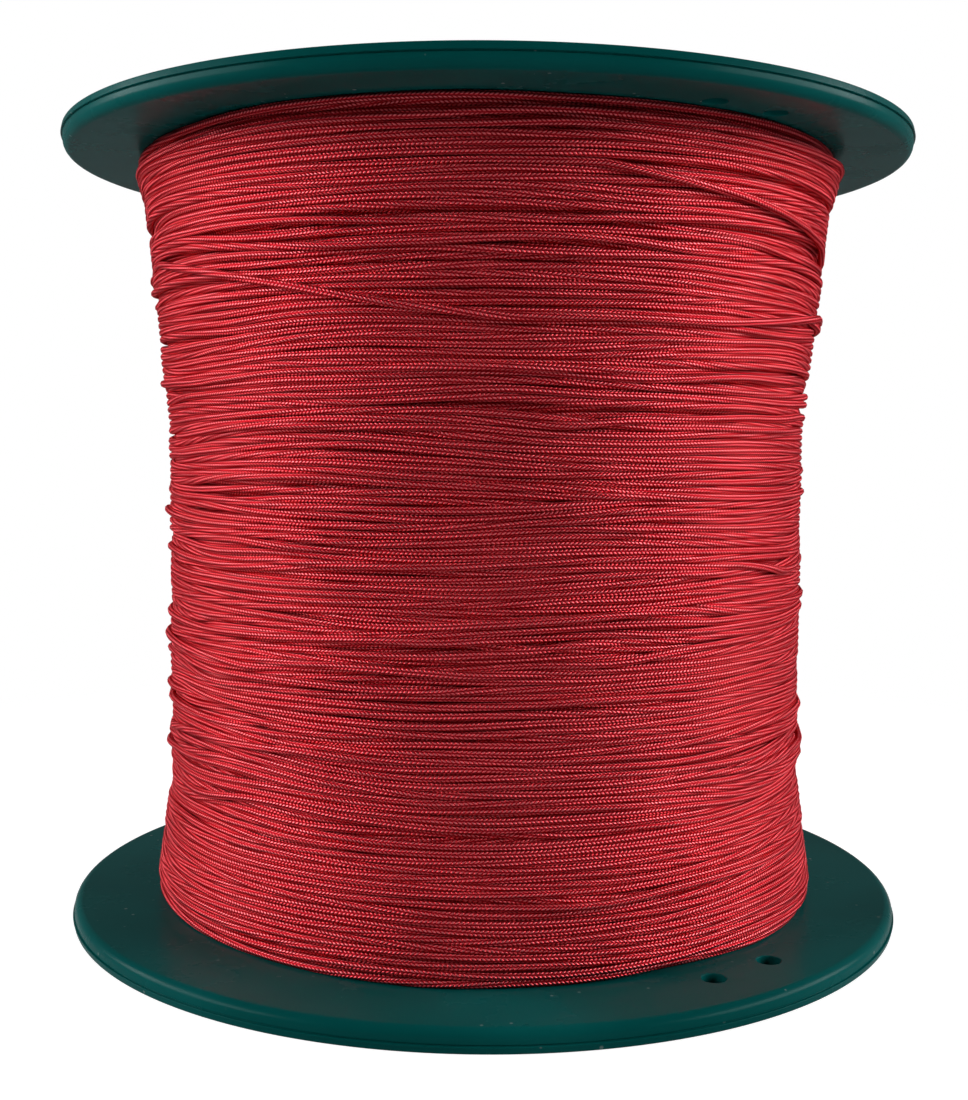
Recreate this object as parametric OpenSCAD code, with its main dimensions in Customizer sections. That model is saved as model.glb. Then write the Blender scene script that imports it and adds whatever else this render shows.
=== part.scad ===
// String reel: a moulded reel of racket string. Two flanges are held on a plain barrel by snap hooks,
// an arbor tube joins their hubs, and the string is wound on the barrel and tied off at one flange.
// Millimetres, +Z along the reel's axis, origin at the middle of the face that it stands on.

/* [Reel] */
// Diameter across the flanges
flange_d = 140; // [120:1:180]
// Height over both flanges
reel_h = 128; // [90:0.2:180]
// Thickness of a flange at its rim
flange_t = 3.3; // [3:0.1:6]
// How far a flange reaches out past the barrel
flange_reach = 25; // [22:0.5:32]

/* [Rim] */
// Height of the lip at the outer face
lip_h = 1.1; // [0.8:0.05:1.8]
// How far the lip stands proud of the bead below it
lip_proud = 0.3; // [0.1:0.05:0.6]
// Radius of the round on the inner edge of the rim
bead_r = 1.4; // [0.8:0.1:2]
// Chamfer on the outer edge of the lip
lip_chamfer = 0.3; // [0.1:0.05:0.5]

/* [Label well] */
// Depth of the well that keeps the label off the ground
well_depth = 0.9; // [0.5:0.1:1.3]
// Distance of the label well in from the rim
well_inset = 14; // [11:0.5:24]
// Diameter of the hub face inside the well
hub_face_d = 34; // [28:1:44]
// Thickness of the paper label
label_t = 0.3; // [0.1:0.05:0.5]
// Gap between the label and the walls of its well
label_clear = 1.0; // [0.4:0.1:2]

/* [Arbor] */
// Diameter of the arbor bore, in which the reel turns on a spindle
arbor_d = 22; // [16:0.5:24]
// Length of the bore in each flange
arbor_land = 6.7; // [5.5:0.1:9]
// Chamfer at the mouth of the bore
arbor_chamfer = 0.6; // [0.3:0.1:1]
// Wall of the arbor tube
tube_wall = 2; // [1.2:0.1:2.5]
// Step from the arbor bore out to the bore of the arbor tube
tube_step = 1; // [0.5:0.1:1.5]
// Depth of the socket that takes each end of the tube
socket_depth = 10; // [6:0.5:15]
// Wall of the socket
socket_wall = 2.6; // [1.6:0.1:3]
// Radial clearance between the tube and its socket
tube_clear = 0.15; // [0.1:0.05:0.3]

/* [Barrel] */
// Wall of the barrel
barrel_wall = 2.6; // [2:0.1:3.5]
// Height of the spigot that centres the barrel on each flange
spigot_h = 9; // [8:0.5:14]
// Wall of the spigot
spigot_wall = 2.2; // [1.6:0.1:3]
// Radial clearance between the spigot and the barrel
spigot_clear = 0.2; // [0.1:0.05:0.3]
// Thickness of the web inside the barrel
web_t = 1.8; // [1.4:0.1:2.2]
// Number of ribs inside each flange
rib_count = 6; // [3:1:9]
// Thickness of a rib
rib_t = 1.8; // [1.2:0.1:3]
// Height of a rib above the inner face of the flange
rib_h = 5; // [3:0.5:7]

/* [Snap hooks] */
// Number of snap hooks on each flange
hook_count = 3; // [2:1:4]
// Width of a hook
hook_w = 9; // [6:0.5:12]
// Height of a hook
hook_h = 2; // [1.5:0.1:2.4]
// How far a hook stands out of the spigot
hook_reach = 1.6; // [1:0.1:2]
// Clearance around a hook in its window
hook_clear = 0.3; // [0.2:0.05:0.5]

/* [Tie holes] */
// Diameter of a tie hole
tie_hole_d = 3.5; // [2.8:0.1:4.5]
// Distance of the tie holes in from the rim
tie_inset = 9.3; // [6:0.1:10]
// Distance between the two holes of a pair
tie_pitch = 11.7; // [8:0.1:14]
// Direction of the front pair of the lower flange, in degrees from +X
tie_angle_lower = -51.8; // [-180:0.1:180]
// Direction of the front pair of the upper flange, in degrees from +X
tie_angle_upper = -54.3; // [-180:0.1:180]
// Depth of the groove that joins a pair on the outer face
tie_groove_depth = 1.6; // [1.5:0.1:2]
// Width of that groove
tie_groove_w = 2.2; // [1.8:0.1:3]

/* [String] */
// Diameter of the string
string_d = 1.2; // [1:0.05:1.4]
// Distance from the rim in to the winding at the lower flange
margin_lower = 13.4; // [10:0.1:18]
// Distance from the rim in to the middle of the winding
margin_middle = 16.3; // [10:0.1:18]
// Distance from the rim in to the winding at the upper flange
margin_upper = 10.6; // [9.5:0.1:18]
// Distance from the rim in to the winding where it flares out to the upper flange
margin_flare = 12.8; // [10:0.1:18]
// Height of that flare
flare_h = 8; // [4:1:15]
// Height above the lower flange where the winding has come in to its middle diameter
taper_lower = 20; // [10:1:30]
// Depth below the upper flange where the winding starts to widen
taper_upper = 44; // [20:1:50]
// Turns of string drawn in the outer layer
turns = 24; // [12:1:24]
// Gap between the inner layers and the barrel
pack_clear = 0.2; // [0.1:0.05:0.4]
// Least gap between the outer turns and the layers below
turn_gap = 0.12; // [0.05:0.01:0.3]
// Height of the anchor hole in the barrel above the lower flange
anchor_h = 24; // [16:1:60]
// Diameter of the anchor hole
anchor_d = 3; // [2.4:0.1:4]
// Diameter of the stopper knot inside the barrel
knot_d = 4.4; // [4.2:0.1:6]
// Length of the stopper knot
knot_l = 3.6; // [2:0.2:6]
// Length of the loose end below the tie hole
tail_l = 7; // [3:0.5:15]

/* [Hidden] */

$fn = 96;
EPS = 0.01;
FILLET_STEPS = 6;
RINGS = 24;  // rings in one turn of string
SIDES = 6;  // sides of the string

flange_r = flange_d / 2;
bead_edge_r = flange_r - lip_proud;
arbor_r = arbor_d / 2;
tube_bore_r = arbor_r + tube_step;
tube_r = tube_bore_r + tube_wall;
socket_r = tube_r + tube_clear;
socket_out_r = socket_r + socket_wall;
well_r = flange_r - well_inset;
hub_face_r = hub_face_d / 2;
tube_l = reel_h - 2 * arbor_land;

barrel_r = flange_r - flange_reach;
barrel_bore_r = barrel_r - barrel_wall;
barrel_l = reel_h - 2 * flange_t;
spigot_r = barrel_bore_r - spigot_clear;
spigot_bore_r = spigot_r - spigot_wall;
web_z = well_depth + web_t;
hook_z = flange_t + spigot_h - hook_h - 1;
hook_r = min(spigot_r + hook_reach, barrel_r - 0.4);

tie_r = flange_r - tie_inset;
tie_half_angle = asin(tie_pitch / 2 / tie_r);
anchor_z = flange_t + anchor_h;
ANCHOR_ANGLE = 90;

// Height between the flanges, and the radius over the winding at a height.
low_z = flange_t;
high_z = reel_h - flange_t;
function wound_r(z) = lookup(z, [
    [low_z, flange_r - margin_lower],
    [low_z + taper_lower, flange_r - margin_middle],
    [high_z - taper_upper, flange_r - margin_middle],
    [high_z - flare_h, flange_r - margin_flare],
    [high_z, flange_r - margin_upper]
]);

// A turn is drawn with straight chords, so its middle line stands off the layers below by the
// string's radius, the least gap, and the rise of the widest chord.
chord_rise = wound_r(high_z) * (1 - cos(180 / RINGS));
stand_off = string_d / 2 + turn_gap + chord_rise;
function turn_r(z) = wound_r(z) - string_d / 2;
function core_r(z) = turn_r(z) - stand_off;

module ring(r_out, r_in, h) {
    difference() {
        cylinder(r = r_out, h = h);
        translate([0, 0, -EPS]) cylinder(r = r_in, h = h + 2 * EPS);
    }
}

// Disc of the flange with its outer face at z = 0: a lip, a step and a rounded inner edge.
module flange_disc() {
    rotate_extrude()
        polygon(concat(
            [
                [0, 0],
                [flange_r - lip_chamfer, 0],
                [flange_r, lip_chamfer],
                [flange_r, lip_h],
                [bead_edge_r, lip_h]
            ],
            [
                for (i = [0:FILLET_STEPS])
                    let (a = 90 * i / FILLET_STEPS)
                    [bead_edge_r - bead_r * (1 - cos(a)), flange_t - bead_r * (1 - sin(a))]
            ],
            [[0, flange_t]]
        ));
}

// Places its children at each of the two tie-hole pairs, which lie opposite each other.
module at_tie_pairs(angle) {
    for (turn = [0, 180])
        rotate(angle + turn) translate([tie_r * cos(tie_half_angle), 0, 0]) children();
}
module tie_cuts(angle) {
    at_tie_pairs(angle) {
        for (side = [-1, 1])
            translate([0, side * tie_pitch / 2, -EPS])
                cylinder(d = tie_hole_d, h = flange_t + 2 * EPS, $fn = 32);
        translate([-tie_groove_w / 2, -tie_pitch / 2, -EPS])
            cube([tie_groove_w, tie_pitch, tie_groove_depth + EPS]);
    }
}

module hooks(inset, grow) {
    for (i = [0:hook_count - 1])
        rotate(360 * i / hook_count + 180 / hook_count)
            translate([spigot_bore_r + inset, -hook_w / 2 - grow, hook_z - grow])
                cube([hook_r - spigot_bore_r, hook_w + 2 * grow, hook_h + 2 * grow]);
}

// One flange moulding, standing on its outer face. Both flanges are this moulding.
module flange(tie_angle) {
    difference() {
        union() {
            flange_disc();
            translate([0, 0, flange_t - EPS])
                cylinder(r = socket_out_r, h = arbor_land + socket_depth - flange_t + EPS);
            translate([0, 0, flange_t - EPS]) ring(spigot_r, spigot_bore_r, spigot_h + EPS);
            intersection() {
                hooks(spigot_wall / 2, 0);
                cylinder(r = hook_r, h = reel_h / 2);
            }
        }
        // label well round the hub face
        translate([0, 0, -EPS]) ring(well_r, hub_face_r, well_depth + EPS);
        // coring inside the barrel
        translate([0, 0, web_z]) ring(spigot_bore_r, socket_out_r, flange_t);
        // arbor bore, its mouth and the socket of the arbor tube
        translate([0, 0, -EPS]) cylinder(r = arbor_r, h = arbor_land + 2 * EPS);
        translate([0, 0, -EPS])
            cylinder(r1 = arbor_r + arbor_chamfer + EPS, r2 = arbor_r, h = arbor_chamfer + EPS);
        translate([0, 0, arbor_land]) cylinder(r = socket_r, h = socket_depth + flange_t);
        tie_cuts(tie_angle);
    }
    ribs();
}

module ribs() {
    reach = spigot_bore_r - socket_out_r + spigot_wall / 2 + socket_wall / 2;
    for (i = [0:rib_count - 1])
        rotate(360 * i / rib_count)
            translate([socket_out_r - socket_wall / 2, -rib_t / 2, web_z - EPS])
                cube([reach, rib_t, flange_t + rib_h - web_z + EPS]);
}

module lower_flange() {
    color([0.01, 0.27, 0.26]) flange(tie_angle_lower);
}

// The upper flange is the same moulding turned over, which reverses its angles.
module upper_flange() {
    color([0.01, 0.27, 0.26])
        translate([0, 0, reel_h]) rotate([180, 0, 0]) flange(-tie_angle_upper);
}

// Barrel with a window for each snap hook and one anchor hole for the string.
module barrel() {
    color([0.02, 0.24, 0.23])
        difference() {
            translate([0, 0, flange_t]) ring(barrel_r, barrel_bore_r, barrel_l);
            hooks(0, hook_clear);
            translate([0, 0, reel_h]) rotate([180, 0, 0]) hooks(0, hook_clear);
            rotate(ANCHOR_ANGLE)
                translate([barrel_bore_r - barrel_wall, 0, anchor_z])
                    rotate([0, 90, 0]) cylinder(d = anchor_d, h = 3 * barrel_wall, $fn = 32);
        }
}

module arbor_tube() {
    color([0.02, 0.24, 0.23])
        translate([0, 0, arbor_land]) ring(tube_r, tube_bore_r, tube_l);
}

// First end of the string: it goes in through the barrel and ends in a stopper knot.
module string_start() {
    knot_r = barrel_bore_r - spigot_clear - knot_l;
    color([0.78, 0.10, 0.17])
        rotate(ANCHOR_ANGLE)
            translate([knot_r, 0, anchor_z])
                rotate([0, 90, 0]) {
                    cylinder(d = string_d, h = barrel_r + pack_clear - knot_r, $fn = 24);
                    cylinder(d = knot_d, h = knot_l, $fn = 24);
                }
}

// Inner layers of string, as one plain body under the outer layer.
module string_pack() {
    pack_in_r = barrel_r + pack_clear;
    levels = [low_z, low_z + taper_lower, high_z - taper_upper, high_z - flare_h, high_z];
    color([0.70, 0.08, 0.15])
        rotate_extrude()
            polygon(concat(
                [[pack_in_r, low_z]],
                [for (z = levels) [core_r(z), z]],
                [[pack_in_r, high_z]]
            ));
}

// ---- Outer layer of string, one tube from the layers below to the tie holes ----

// Turns are counted by angle. The last turn leaves the winding on a tangent to the first tie hole.
tie_back_angle = tie_angle_upper + 180;
hole_a = tie_back_angle - tie_half_angle;
end_z = high_z - string_d;
end_r = turn_r(end_z);
leave_angle = hole_a - acos(end_r / tie_r);
begin_z = low_z + string_d;
rise = (end_z - begin_z) / turns;
begin_angle = leave_angle - 360 * turns;
steps = turns * RINGS;

function polar(r, a, z) = [r * cos(a), r * sin(a), z];
function turn_point(i, lift = 0) =
    let (z = begin_z + rise * i / RINGS)
    polar(turn_r(z) + lift, begin_angle + 360 * i / RINGS, z);

// The string comes out square to the layers below, then bends over and settles into its first turn.
out_r = core_r(begin_z);
begin_bend = string_d;
climb = [
    polar(out_r, begin_angle - 3, begin_z),
    polar(out_r + string_d, begin_angle - 3, begin_z),
    polar(out_r + string_d + 0.6 * begin_bend, begin_angle - 2.6, begin_z),
    polar(out_r + string_d + begin_bend, begin_angle - 1.6, begin_z)
];
settle = [for (i = [0:2]) turn_point(i, (2 - i) / 2 * begin_bend * 0.8)];
winding = [for (i = [3:steps]) turn_point(i)];

// Route of the tied end, in the frame of the tie pair: along the pair, out from the axis, and up.
function tie_point(along, out, z) =
    let (r = tie_r * cos(tie_half_angle) + out)
    [
        r * cos(tie_back_angle) - along * sin(tie_back_angle),
        r * sin(tie_back_angle) + along * cos(tie_back_angle),
        z
    ];
half = tie_pitch / 2;
top_z = reel_h - tie_groove_depth / 2;
tied_end = [
    tie_point(-half - 13, -5.3, end_z - 0.3),
    tie_point(-half - 6.5, -2.6, end_z - 0.8),
    tie_point(-half - 2.4, -0.9, end_z - 1.1),
    tie_point(-half - 1.2, -0.4, end_z - 0.7),
    tie_point(-half - 0.4, -0.1, end_z + 0.3),
    tie_point(-half - 0.1, 0, end_z + 1.4),
    tie_point(-half, 0, top_z - 1.5),
    tie_point(-half + 0.35, 0, top_z - 0.7),
    tie_point(-half + 1.4, 0, top_z),
    tie_point(0, 0, top_z),
    tie_point(half - 1.4, 0, top_z),
    tie_point(half - 0.35, 0, top_z - 0.7),
    tie_point(half, 0, top_z - 1.5),
    tie_point(half, 0, high_z),
    tie_point(half, 0, high_z - tail_l)
];
route = concat(climb, settle, winding, tied_end);

// Sweep: each ring's side direction is the last one's, carried along the route without twist.
function unit(v) = v / norm(v);
function heading(p, i) =
    let (n = len(p) - 1)
    unit(i == 0 ? p[1] - p[0] : i == n ? p[n] - p[n - 1] : unit(p[i + 1] - p[i]) + unit(p[i] - p[i - 1]));
function square_to(v, d) = unit(v - (v * d) * d);

module string_along(p, d) {
    n = len(p);
    sides = [
        for (i = 0, v = square_to([0, 0, 1], heading(p, 0)); i < n; i = i + 1,
            v = i < n ? square_to(v, heading(p, i)) : v) v
    ];
    points = [
        for (i = [0:n - 1])
            let (t = heading(p, i), u = sides[i], w = cross(t, u))
            for (k = [0:SIDES - 1])
                let (a = 360 * (k + 0.5) / SIDES)
                p[i] + d / 2 * (cos(a) * u + sin(a) * w)
    ];
    walls = [
        for (i = [0:n - 2], k = [0:SIDES - 1])
            let (a = i * SIDES + k, b = i * SIDES + (k + 1) % SIDES)
            each [[a, a + SIDES, b + SIDES], [a, b + SIDES, b]]
    ];
    ends = [
        for (k = [1:SIDES - 2])
            each [[0, k, k + 1], let (m = (n - 1) * SIDES) [m, m + k + 1, m + k]]
    ];
    polyhedron(points, concat(walls, ends));
}

module outer_turns() {
    color([0.83, 0.13, 0.20]) string_along(route, string_d);
}

// Least gap of the string to itself, on points that lie more than a quarter turn apart along it.
least_gap = min([
    for (i = [0:2:len(route) - 1])
        let (q = route[i])
        min([for (j = [i + RINGS / 4:1:min(i + RINGS + RINGS / 4, len(route) - 1)]) norm(route[j] - q), 1000])
]) - string_d;
echo(string_least_gap_mm = least_gap, string_rings = len(route));

// Blank paper label, stuck on the floor of a flange's well.
module label() {
    color([0.93, 0.93, 0.90])
        translate([0, 0, well_depth - label_t])
            ring(well_r - label_clear, hub_face_r + label_clear, label_t);
}

module lower_label() {
    label();
}

module upper_label() {
    translate([0, 0, reel_h]) rotate([180, 0, 0]) label();
}

lower_flange();
upper_flange();
barrel();
arbor_tube();
string_start();
string_pack();
outer_turns();
upper_label();
lower_label();
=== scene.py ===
"""Looks of a string reel: two moulded flanges, paper labels and a winding of braided string."""

import math

import bmesh
import bpy
import numpy as np
from mathutils import Matrix, Vector


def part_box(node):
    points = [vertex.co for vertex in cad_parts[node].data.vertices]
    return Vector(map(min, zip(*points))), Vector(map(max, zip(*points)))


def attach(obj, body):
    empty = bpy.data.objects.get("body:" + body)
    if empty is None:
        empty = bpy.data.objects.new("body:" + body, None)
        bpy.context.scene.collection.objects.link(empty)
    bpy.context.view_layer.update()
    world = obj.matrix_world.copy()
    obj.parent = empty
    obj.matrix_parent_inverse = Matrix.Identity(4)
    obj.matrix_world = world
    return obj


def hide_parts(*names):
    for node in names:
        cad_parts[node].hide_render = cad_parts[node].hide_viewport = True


bl_info = {
    "name": "String reel",
    "version": (1, 0, 0),
    "blender": (4, 5, 0),
    "location": "View3D > Sidebar > String reel",
    "description": "Makes the flanges, labels, winding and studio of a reel of racket string",
    "category": "Object",
}

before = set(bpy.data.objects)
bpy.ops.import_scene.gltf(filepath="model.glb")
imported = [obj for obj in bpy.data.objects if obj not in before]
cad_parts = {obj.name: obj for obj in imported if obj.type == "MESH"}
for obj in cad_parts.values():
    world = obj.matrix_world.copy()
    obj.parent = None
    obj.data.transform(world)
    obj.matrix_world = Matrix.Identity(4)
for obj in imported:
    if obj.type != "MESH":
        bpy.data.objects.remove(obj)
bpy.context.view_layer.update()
BODY = "root"
MM = 0.001


def box_radius(node):
    """Radius of a round CAD node that is centred on the reel's axis."""
    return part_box(node)[1].x


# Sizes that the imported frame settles, in metres.
FLANGE_R = box_radius("lower_flange")
REEL_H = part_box("upper_flange")[1].z
BARREL_R = box_radius("barrel")
FLANGE_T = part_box("barrel")[0].z
SOCKET_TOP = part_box("lower_flange")[1].z
LABEL_R = box_radius("lower_label")
LABEL_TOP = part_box("lower_label")[1].z
TUBE_R = box_radius("arbor_tube")
ARBOR_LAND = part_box("arbor_tube")[0].z


# ---------------------------------------------------------------- settings


def number(name, description, default, low=0.0, high=1000.0, **kind):
    return bpy.props.FloatProperty(
        name=name, description=description, default=default, min=low, max=high, **kind
    )


def length(name, description, default, low=0.0, high=1.0):
    return number(name, description, default, low, high, subtype="DISTANCE", unit="LENGTH")


def angle(name, description, degrees):
    turn = math.radians(degrees)
    return number(name, description, turn, -math.pi, math.pi, subtype="ANGLE", unit="ROTATION")


def count(name, description, default, low=1, high=1000):
    return bpy.props.IntProperty(name=name, description=description, default=default, min=low, max=high)


def colour(name, description, default):
    return bpy.props.FloatVectorProperty(
        name=name, description=description, default=default, min=0.0, max=1.0, size=3, subtype="COLOR"
    )


class FlangeSettings(bpy.types.PropertyGroup):
    """Sizes and colour of the flange mouldings."""

    lip_h: length("Lip height", "Height of the lip at the outer face", 1.1 * MM)
    lip_proud: length("Lip step", "How far the lip stands proud of the bead", 0.3 * MM)
    bead_round: length("Bead round", "Radius of the round on the rim's inner edge", 1.4 * MM)
    lip_draft: length("Lip draft", "How much the lip narrows towards the outer face", 0.25 * MM)
    edge_round: length("Edge round", "Radius on the lip's outer edge", 0.3 * MM)
    small_round: length("Small round", "Radius on the edges of the hub and the well", 0.22 * MM)
    arbor_r: length("Arbor radius", "Radius of the arbor bore", 11 * MM)
    hub_face_r: length("Hub face radius", "Radius of the hub face inside the label well", 17 * MM)
    socket_wall: length("Socket wall", "Wall of the arbor tube's socket", 2.6 * MM)
    tube_clear: length("Tube clearance", "Radial clearance of the arbor tube in its socket", 0.15 * MM)
    spigot_clear: length("Spigot clearance", "Radial clearance of the spigot in the barrel", 0.2 * MM)
    barrel_wall: length("Barrel wall", "Wall of the barrel", 2.6 * MM)
    spigot_wall: length("Spigot wall", "Wall of the spigot", 2.2 * MM)
    spigot_h: length("Spigot height", "Height of the spigot above the inner face", 9 * MM)
    web_t: length("Web", "Thickness of the web inside the barrel", 1.8 * MM)
    label_clear: length("Label clearance", "Gap between the label and its well", 1.0 * MM)
    tie_hole_r: length("Tie hole radius", "Radius of a tie hole", 1.75 * MM)
    tie_inset: length("Tie hole inset", "Distance of the tie holes in from the rim", 9.3 * MM)
    tie_pitch: length("Tie hole pitch", "Distance between the holes of a pair", 11.7 * MM)
    tie_mouth: length("Tie hole mouth", "Round at the mouth of a tie hole", 0.22 * MM)
    groove_w: length("Groove width", "Width of the groove between the holes of a pair", 2.2 * MM)
    groove_depth: length("Groove depth", "Depth of that groove", 1.6 * MM)
    tie_lower: angle("Lower pair", "Direction of the lower flange's front pair", -51.8)
    tie_upper: angle("Upper pair", "Direction of the upper flange's front pair", -54.3)
    ribs: count("Ribs", "Ribs inside each flange", 6)
    rib_t: length("Rib thickness", "Thickness of a rib", 1.8 * MM)
    rib_h: length("Rib height", "Height of a rib above the inner face", 5 * MM)
    hooks: count("Snap hooks", "Snap hooks on each flange", 3)
    hook_w: length("Hook width", "Width of a snap hook", 9 * MM)
    hook_h: length("Hook height", "Height of a snap hook", 2 * MM)
    hook_reach: length("Hook reach", "How far a snap hook stands out of the spigot", 1.6 * MM)
    segments: count("Segments", "Steps round the flange", 288, 24, 720)
    green: colour("Flange green", "Colour of the flange plastic", (0.0004, 0.080, 0.076))


class LabelSettings(bpy.types.PropertyGroup):
    """Rings and colours of the blank paper labels."""

    band_inset: length("Band inset", "From the label's edge in to the middle of its band", 2.6 * MM)
    band_half: length("Band half width", "Half the width of the band", 0.9 * MM)
    line_inset: length("Line inset", "From the label's edge in to the thin line", 4.6 * MM)
    line_half: length("Line half width", "Half the width of the thin line", 0.2 * MM)
    ring_r: length("Ring radius", "Radius of the ring round the hub", 22.5 * MM)
    ring_half: length("Ring half width", "Half the width of that ring", 0.5 * MM)
    paper: colour("Paper", "Colour of the paper", (0.80, 0.79, 0.74))
    aged: colour("Aged paper", "Colour of the paper's aged patches", (0.71, 0.68, 0.60))
    fibre: colour("Fibre", "Colour of the paper's darker fibres", (0.55, 0.52, 0.46))
    band_ink: colour("Band ink", "Colour of the band and the thin line", (0.004, 0.10, 0.09))
    ring_ink: colour("Ring ink", "Colour of the ring round the hub", (0.45, 0.02, 0.04))


class StringSettings(bpy.types.PropertyGroup):
    """Sizes, lay and colours of the string."""

    diameter: length("Diameter", "Diameter of the string", 1.2 * MM)
    margin_lower: length("Lower margin", "From the rim in to the winding at the lower flange", 13.4 * MM)
    margin_middle: length("Middle margin", "From the rim in to the middle of the winding", 16.3 * MM)
    margin_flare: length("Flare margin", "From the rim in to the winding where it flares out", 12.8 * MM)
    margin_upper: length("Upper margin", "From the rim in to the winding at the upper flange", 10.6 * MM)
    flare_h: length("Flare height", "Height of the flare below the upper flange", 8 * MM)
    taper_lower: length("Lower taper", "Height over which the winding draws in", 20 * MM)
    taper_upper: length("Upper taper", "Height over which the winding widens", 44 * MM)
    layers: count("Layers laid", "Layers of string that are laid one over the other", 4, 2, 12)
    shown_layers: count("Layers drawn", "Outer layers that are drawn as string", 3, 1, 6)
    turns: count("Turns", "Turns of string in a layer", 104, 10, 200)
    samples: count("Samples", "Points in a turn", 114, 24, 240)
    sides: count("Sides", "Sides of the drawn string", 8, 5, 16)
    bunching: length("Bunching", "How far neighbouring turns shift together", 0.7 * MM)
    calm: number("Calm ends", "Share of the height over which bunches fade towards a flange", 0.22, 0.01, 0.5)
    end_bunching: number("End bunching", "Share of the bunching that is left at a flange", 0.25, 0.0, 1.0)
    wander: length("Wander", "How far one turn strays from its neighbours", 0.2 * MM)
    lift: length("Lift", "How unevenly turns lie in and out", 0.3 * MM)
    squeeze: number("Squeeze", "Share of its diameter to which string is squeezed", 0.94, 0.5, 1.0)
    pulls: count("Pulls", "Rounds of tightening", 200)
    strays: count("Strays", "Turns of the outer layer that cross over their neighbours by chance", 5, 0)
    stray_slope: number("Stray slope", "How far a stray comes down for its length", 0.13)
    stray_a_height: length("Left stray", "Height at which the left stray leaves its place", 108.2 * MM)
    stray_a_angle: angle("Left stray's direction", "Where the left stray leaves its place", -164)
    stray_a_drop: length("Left stray's drop", "How far down the left stray crosses", 9.8 * MM)
    stray_b_height: length("Right stray", "Height at which the right stray leaves its place", 116.2 * MM)
    stray_b_angle: angle("Right stray's direction", "Where the right stray leaves its place", -73)
    stray_b_drop: length("Right stray's drop", "How far down the right stray crosses", 9.0 * MM)
    knot_turns: count("Knot turns", "Turns of the first end round itself in its stopper knot", 2)
    seed: count("Seed", "Seed of the winding's wander", 11, 0, 9999)
    stitch: length("Stitch", "Length of one stitch of the braid", 0.63 * MM)
    stitch_lean: number("Stitch lean", "Share of its length by which a stitch leans", 0.42)
    braid_rows: count("Braid rows", "Rows of stitches round the string", 6)
    braid_twist: number("Braid twist", "Turns by which the braid twists to and fro", 3.0)
    twist_pace: number("Twist pace", "Changes of the braid's twist in a metre of string", 9.0)
    red: colour("String red", "Colour of the braid's yarn", (0.82, 0.052, 0.068))
    # Crest red is a painted highlight: a paler red laid on the stitches' crests.
    crest_highlight_red: colour("Crest red", "Colour of the stitches' crests", (1.0, 0.23, 0.26))
    # Deep red is painted shade: a darker red laid in the crevices between the stitches.
    crevice_shade_red: colour("Deep red", "Colour between the stitches", (0.36, 0.004, 0.011))


# ---------------------------------------------------------------- shader nodes


class Socket:
    """A shader value that takes part in expressions, each of which adds a Math node."""

    def __init__(self, shader, link):
        self.shader = shader
        self.link = link

    def _math(self, operation, *values):
        return self.shader.add("ShaderNodeMath", {"operation": operation}, dict(enumerate(values)))

    def __add__(self, other):
        return self._math("ADD", self, other)

    def __radd__(self, other):
        return self._math("ADD", other, self)

    def __sub__(self, other):
        return self._math("SUBTRACT", self, other)

    def __rsub__(self, other):
        return self._math("SUBTRACT", other, self)

    def __mul__(self, other):
        return self._math("MULTIPLY", self, other)

    def __rmul__(self, other):
        return self._math("MULTIPLY", other, self)

    def __truediv__(self, other):
        return self._math("DIVIDE", self, other)

    def __mod__(self, other):
        return self._math("FLOORED_MODULO", self, other)

    def floor(self):
        return self._math("FLOOR", self)

    def fract(self):
        return self._math("FRACT", self)

    def absolute(self):
        return self._math("ABSOLUTE", self)

    def cosine(self):
        return self._math("COSINE", self)

    def root(self):
        return self._math("SQRT", self)

    def at_least(self, other):
        return self._math("MAXIMUM", self, other)

    def arctan2(self, other):
        return self._math("ARCTAN2", self, other)

    def ramp(self, low, high, to_low=0.0, to_high=1.0):
        """This value taken from low..high to to_low..to_high with soft ends."""
        return self.shader.add(
            "ShaderNodeMapRange",
            {"interpolation_type": "SMOOTHSTEP", "clamp": True},
            {"Value": self, "From Min": low, "From Max": high, "To Min": to_low, "To Max": to_high},
        )


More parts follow.
